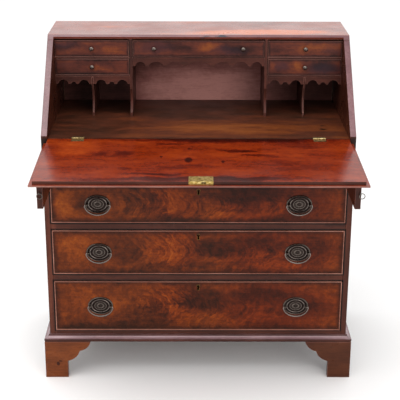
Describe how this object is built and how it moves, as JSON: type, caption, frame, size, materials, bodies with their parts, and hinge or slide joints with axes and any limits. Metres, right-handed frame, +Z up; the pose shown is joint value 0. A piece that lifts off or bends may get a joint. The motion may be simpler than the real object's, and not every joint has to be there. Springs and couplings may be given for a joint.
{
  "type": "secretary desk",
  "caption": "Slant-front mahogany desk with a fall that opens onto two sliding lopers, long drawers below, and small drawers and pigeonholes inside.",
  "frame": {"origin": "on the floor, at the middle of the width and of the whole depth with the fall open", "axes": "+X to the user's right as they face the desk, +Y to the back, +Z up"},
  "size_m": [0.9478, 0.8028, 1.027],
  "materials": {
    "case_mahogany": "polished",
    "flame_mahogany": "polished flame figure",
    "writing_mahogany": "polished",
    "interior_mahogany": "waxed",
    "oak_lining": "bare",
    "backboard_pine": "stained",
    "brass": "aged",
    "dark_bronze": "dark patina"
  },
  "bodies": {
    "case": {"side_panel_left": "case_mahogany", "side_panel_right": "case_mahogany", "top_board": "case_mahogany", "bottom_board": "case_mahogany", "drawer_divider_lower": "case_mahogany", "drawer_divider_middle": "case_mahogany", "drawer_divider_upper": "case_mahogany", "loper_guide_left": "case_mahogany", "loper_guide_right": "case_mahogany", "base_moulding_front": "case_mahogany", "base_moulding_left": "case_mahogany", "base_moulding_right": "case_mahogany", "foot_front_left": "case_mahogany", "foot_front_right": "case_mahogany", "foot_back_left": "case_mahogany", "foot_back_right": "case_mahogany", "back_panel": "backboard_pine", "desk_board": "writing_mahogany", "hinge_desk_leaf_left": "brass", "hinge_desk_leaf_right": "brass", "partition_left": "interior_mahogany", "partition_right": "interior_mahogany", "drawer_shelf_left": "interior_mahogany", "drawer_shelf_right": "interior_mahogany", "pigeonhole_shelf_left": "interior_mahogany", "pigeonhole_shelf_right": "interior_mahogany", "centre_shelf": "interior_mahogany", "pigeonhole_divider_left": "interior_mahogany", "pigeonhole_divider_right": "interior_mahogany"},
    "fall": {"fall_board": "writing_mahogany", "fall_lock": "brass", "hinge_fall_leaf_left": "brass", "hinge_fall_leaf_right": "brass"},
    "lock_bolt": {"fall_lock_bolt": "brass"},
    "loper_left": {"loper_left": "case_mahogany"},
    "ring_left": {"loper_ring_left": "dark_bronze"},
    "loper_right": {"loper_right": "case_mahogany"},
    "ring_right": {"loper_ring_right": "dark_bronze"},
    "drawer_bottom": {"drawer_front_bottom": "flame_mahogany", "drawer_box_bottom": "oak_lining"},
    "bail_bottom_left": {"bail_bottom_left": "dark_bronze"},
    "bail_bottom_right": {"bail_bottom_right": "dark_bronze"},
    "drawer_lower": {"drawer_front_lower": "flame_mahogany", "drawer_box_lower": "oak_lining"},
    "bail_lower_left": {"bail_lower_left": "dark_bronze"},
    "bail_lower_right": {"bail_lower_right": "dark_bronze"},
    "drawer_upper": {"drawer_front_upper": "flame_mahogany", "drawer_box_upper": "oak_lining"},
    "bail_upper_left": {"bail_upper_left": "dark_bronze"},
    "bail_upper_right": {"bail_upper_right": "dark_bronze"},
    "drawer_top": {"drawer_front_top": "flame_mahogany", "drawer_box_top": "oak_lining"},
    "bail_top_left": {"bail_top_left": "dark_bronze"},
    "bail_top_right": {"bail_top_right": "dark_bronze"},
    "small_drawer_upper_left": {"small_drawer_upper_left": "interior_mahogany"},
    "small_drawer_lower_left": {"small_drawer_lower_left": "interior_mahogany"},
    "small_drawer_centre": {"small_drawer_centre": "interior_mahogany"},
    "small_drawer_upper_right": {"small_drawer_upper_right": "interior_mahogany"},
    "small_drawer_lower_right": {"small_drawer_lower_right": "interior_mahogany"}
  },
  "joints": [
    {"name": "fall_hinge", "type": "hinge", "parent": "case", "child": "fall", "pos_m": [0, -0.0541, 0.77211], "axis": [-1, 0, 0], "range_deg": [0, 137.2]},
    {"name": "lock_bolt_slide", "type": "slide", "parent": "fall", "child": "lock_bolt", "axis": [0, -0.9993, -0.0384], "range_m": [0, 0.005]},
    {"name": "loper_left_slide", "type": "slide", "parent": "case", "child": "loper_left", "axis": [0, 1, 0], "range_m": [0, 0.262]},
    {"name": "ring_left_swing", "type": "hinge", "parent": "loper_left", "child": "ring_left", "pos_m": [-0.43025, -0.3283, 0.69907], "axis": [-1, 0, 0], "range_deg": [0, 90]},
    {"name": "loper_right_slide", "type": "slide", "parent": "case", "child": "loper_right", "axis": [0, 1, 0], "range_m": [0, 0.262]},
    {"name": "ring_right_swing", "type": "hinge", "parent": "loper_right", "child": "ring_right", "pos_m": [0.43615, -0.3283, 0.6992], "axis": [-0.8192, 0, -0.5736], "range_deg": [0, 90]},
    {"name": "drawer_bottom_slide", "type": "slide", "parent": "case", "child": "drawer_bottom", "axis": [0, 1, 0], "range_m": [-0.3, 0]},
    {"name": "bail_bottom_left_swing", "type": "hinge", "parent": "drawer_bottom", "child": "bail_bottom_left", "pos_m": [-0.299, -0.0711, 0.23935], "axis": [-1, 0, 0], "range_deg": [0, 90]},
    {"name": "bail_bottom_right_swing", "type": "hinge", "parent": "drawer_bottom", "child": "bail_bottom_right", "pos_m": [0.299, -0.0711, 0.23935], "axis": [-1, 0, 0], "range_deg": [0, 90]},
    {"name": "drawer_lower_slide", "type": "slide", "parent": "case", "child": "drawer_lower", "axis": [0, 1, 0], "range_m": [-0.3, 0]},
    {"name": "bail_lower_left_swing", "type": "hinge", "parent": "drawer_lower", "child": "bail_lower_left", "pos_m": [-0.299, -0.0711, 0.41675], "axis": [-1, 0, 0], "range_deg": [0, 90]},
    {"name": "bail_lower_right_swing", "type": "hinge", "parent": "drawer_lower", "child": "bail_lower_right", "pos_m": [0.299, -0.0711, 0.41675], "axis": [-1, 0, 0], "range_deg": [0, 90]},
    {"name": "drawer_upper_slide", "type": "slide", "parent": "case", "child": "drawer_upper", "axis": [0, 1, 0], "range_m": [-0.3, 0]},
    {"name": "bail_upper_left_swing", "type": "hinge", "parent": "drawer_upper", "child": "bail_upper_left", "pos_m": [-0.299, -0.0711, 0.57115], "axis": [-1, 0, 0], "range_deg": [0, 90]},
    {"name": "bail_upper_right_swing", "type": "hinge", "parent": "drawer_upper", "child": "bail_upper_right", "pos_m": [0.299, -0.0711, 0.57115], "axis": [-1, 0, 0], "range_deg": [0, 90]},
    {"name": "drawer_top_slide", "type": "slide", "parent": "case", "child": "drawer_top", "axis": [0, 1, 0], "range_m": [-0.25, 0]},
    {"name": "bail_top_left_swing", "type": "hinge", "parent": "drawer_top", "child": "bail_top_left", "pos_m": [-0.299, -0.0711, 0.69952], "axis": [-1, 0, 0], "range_deg": [0, 90]},
    {"name": "bail_top_right_swing", "type": "hinge", "parent": "drawer_top", "child": "bail_top_right", "pos_m": [0.299, -0.0711, 0.69952], "axis": [-1, 0, 0], "range_deg": [0, 90]},
    {"name": "small_drawer_upper_left_slide", "type": "slide", "parent": "case", "child": "small_drawer_upper_left", "axis": [0, 1, 0], "range_m": [-0.12, 0]},
    {"name": "small_drawer_lower_left_slide", "type": "slide", "parent": "case", "child": "small_drawer_lower_left", "axis": [0, 1, 0], "range_m": [-0.12, 0]},
    {"name": "small_drawer_centre_slide", "type": "slide", "parent": "case", "child": "small_drawer_centre", "axis": [0, 1, 0], "range_m": [-0.12, 0]},
    {"name": "small_drawer_upper_right_slide", "type": "slide", "parent": "case", "child": "small_drawer_upper_right", "axis": [0, 1, 0], "range_m": [-0.12, 0]},
    {"name": "small_drawer_lower_right_slide", "type": "slide", "parent": "case", "child": "small_drawer_lower_right", "axis": [0, 1, 0], "range_m": [-0.12, 0]}
  ]
}
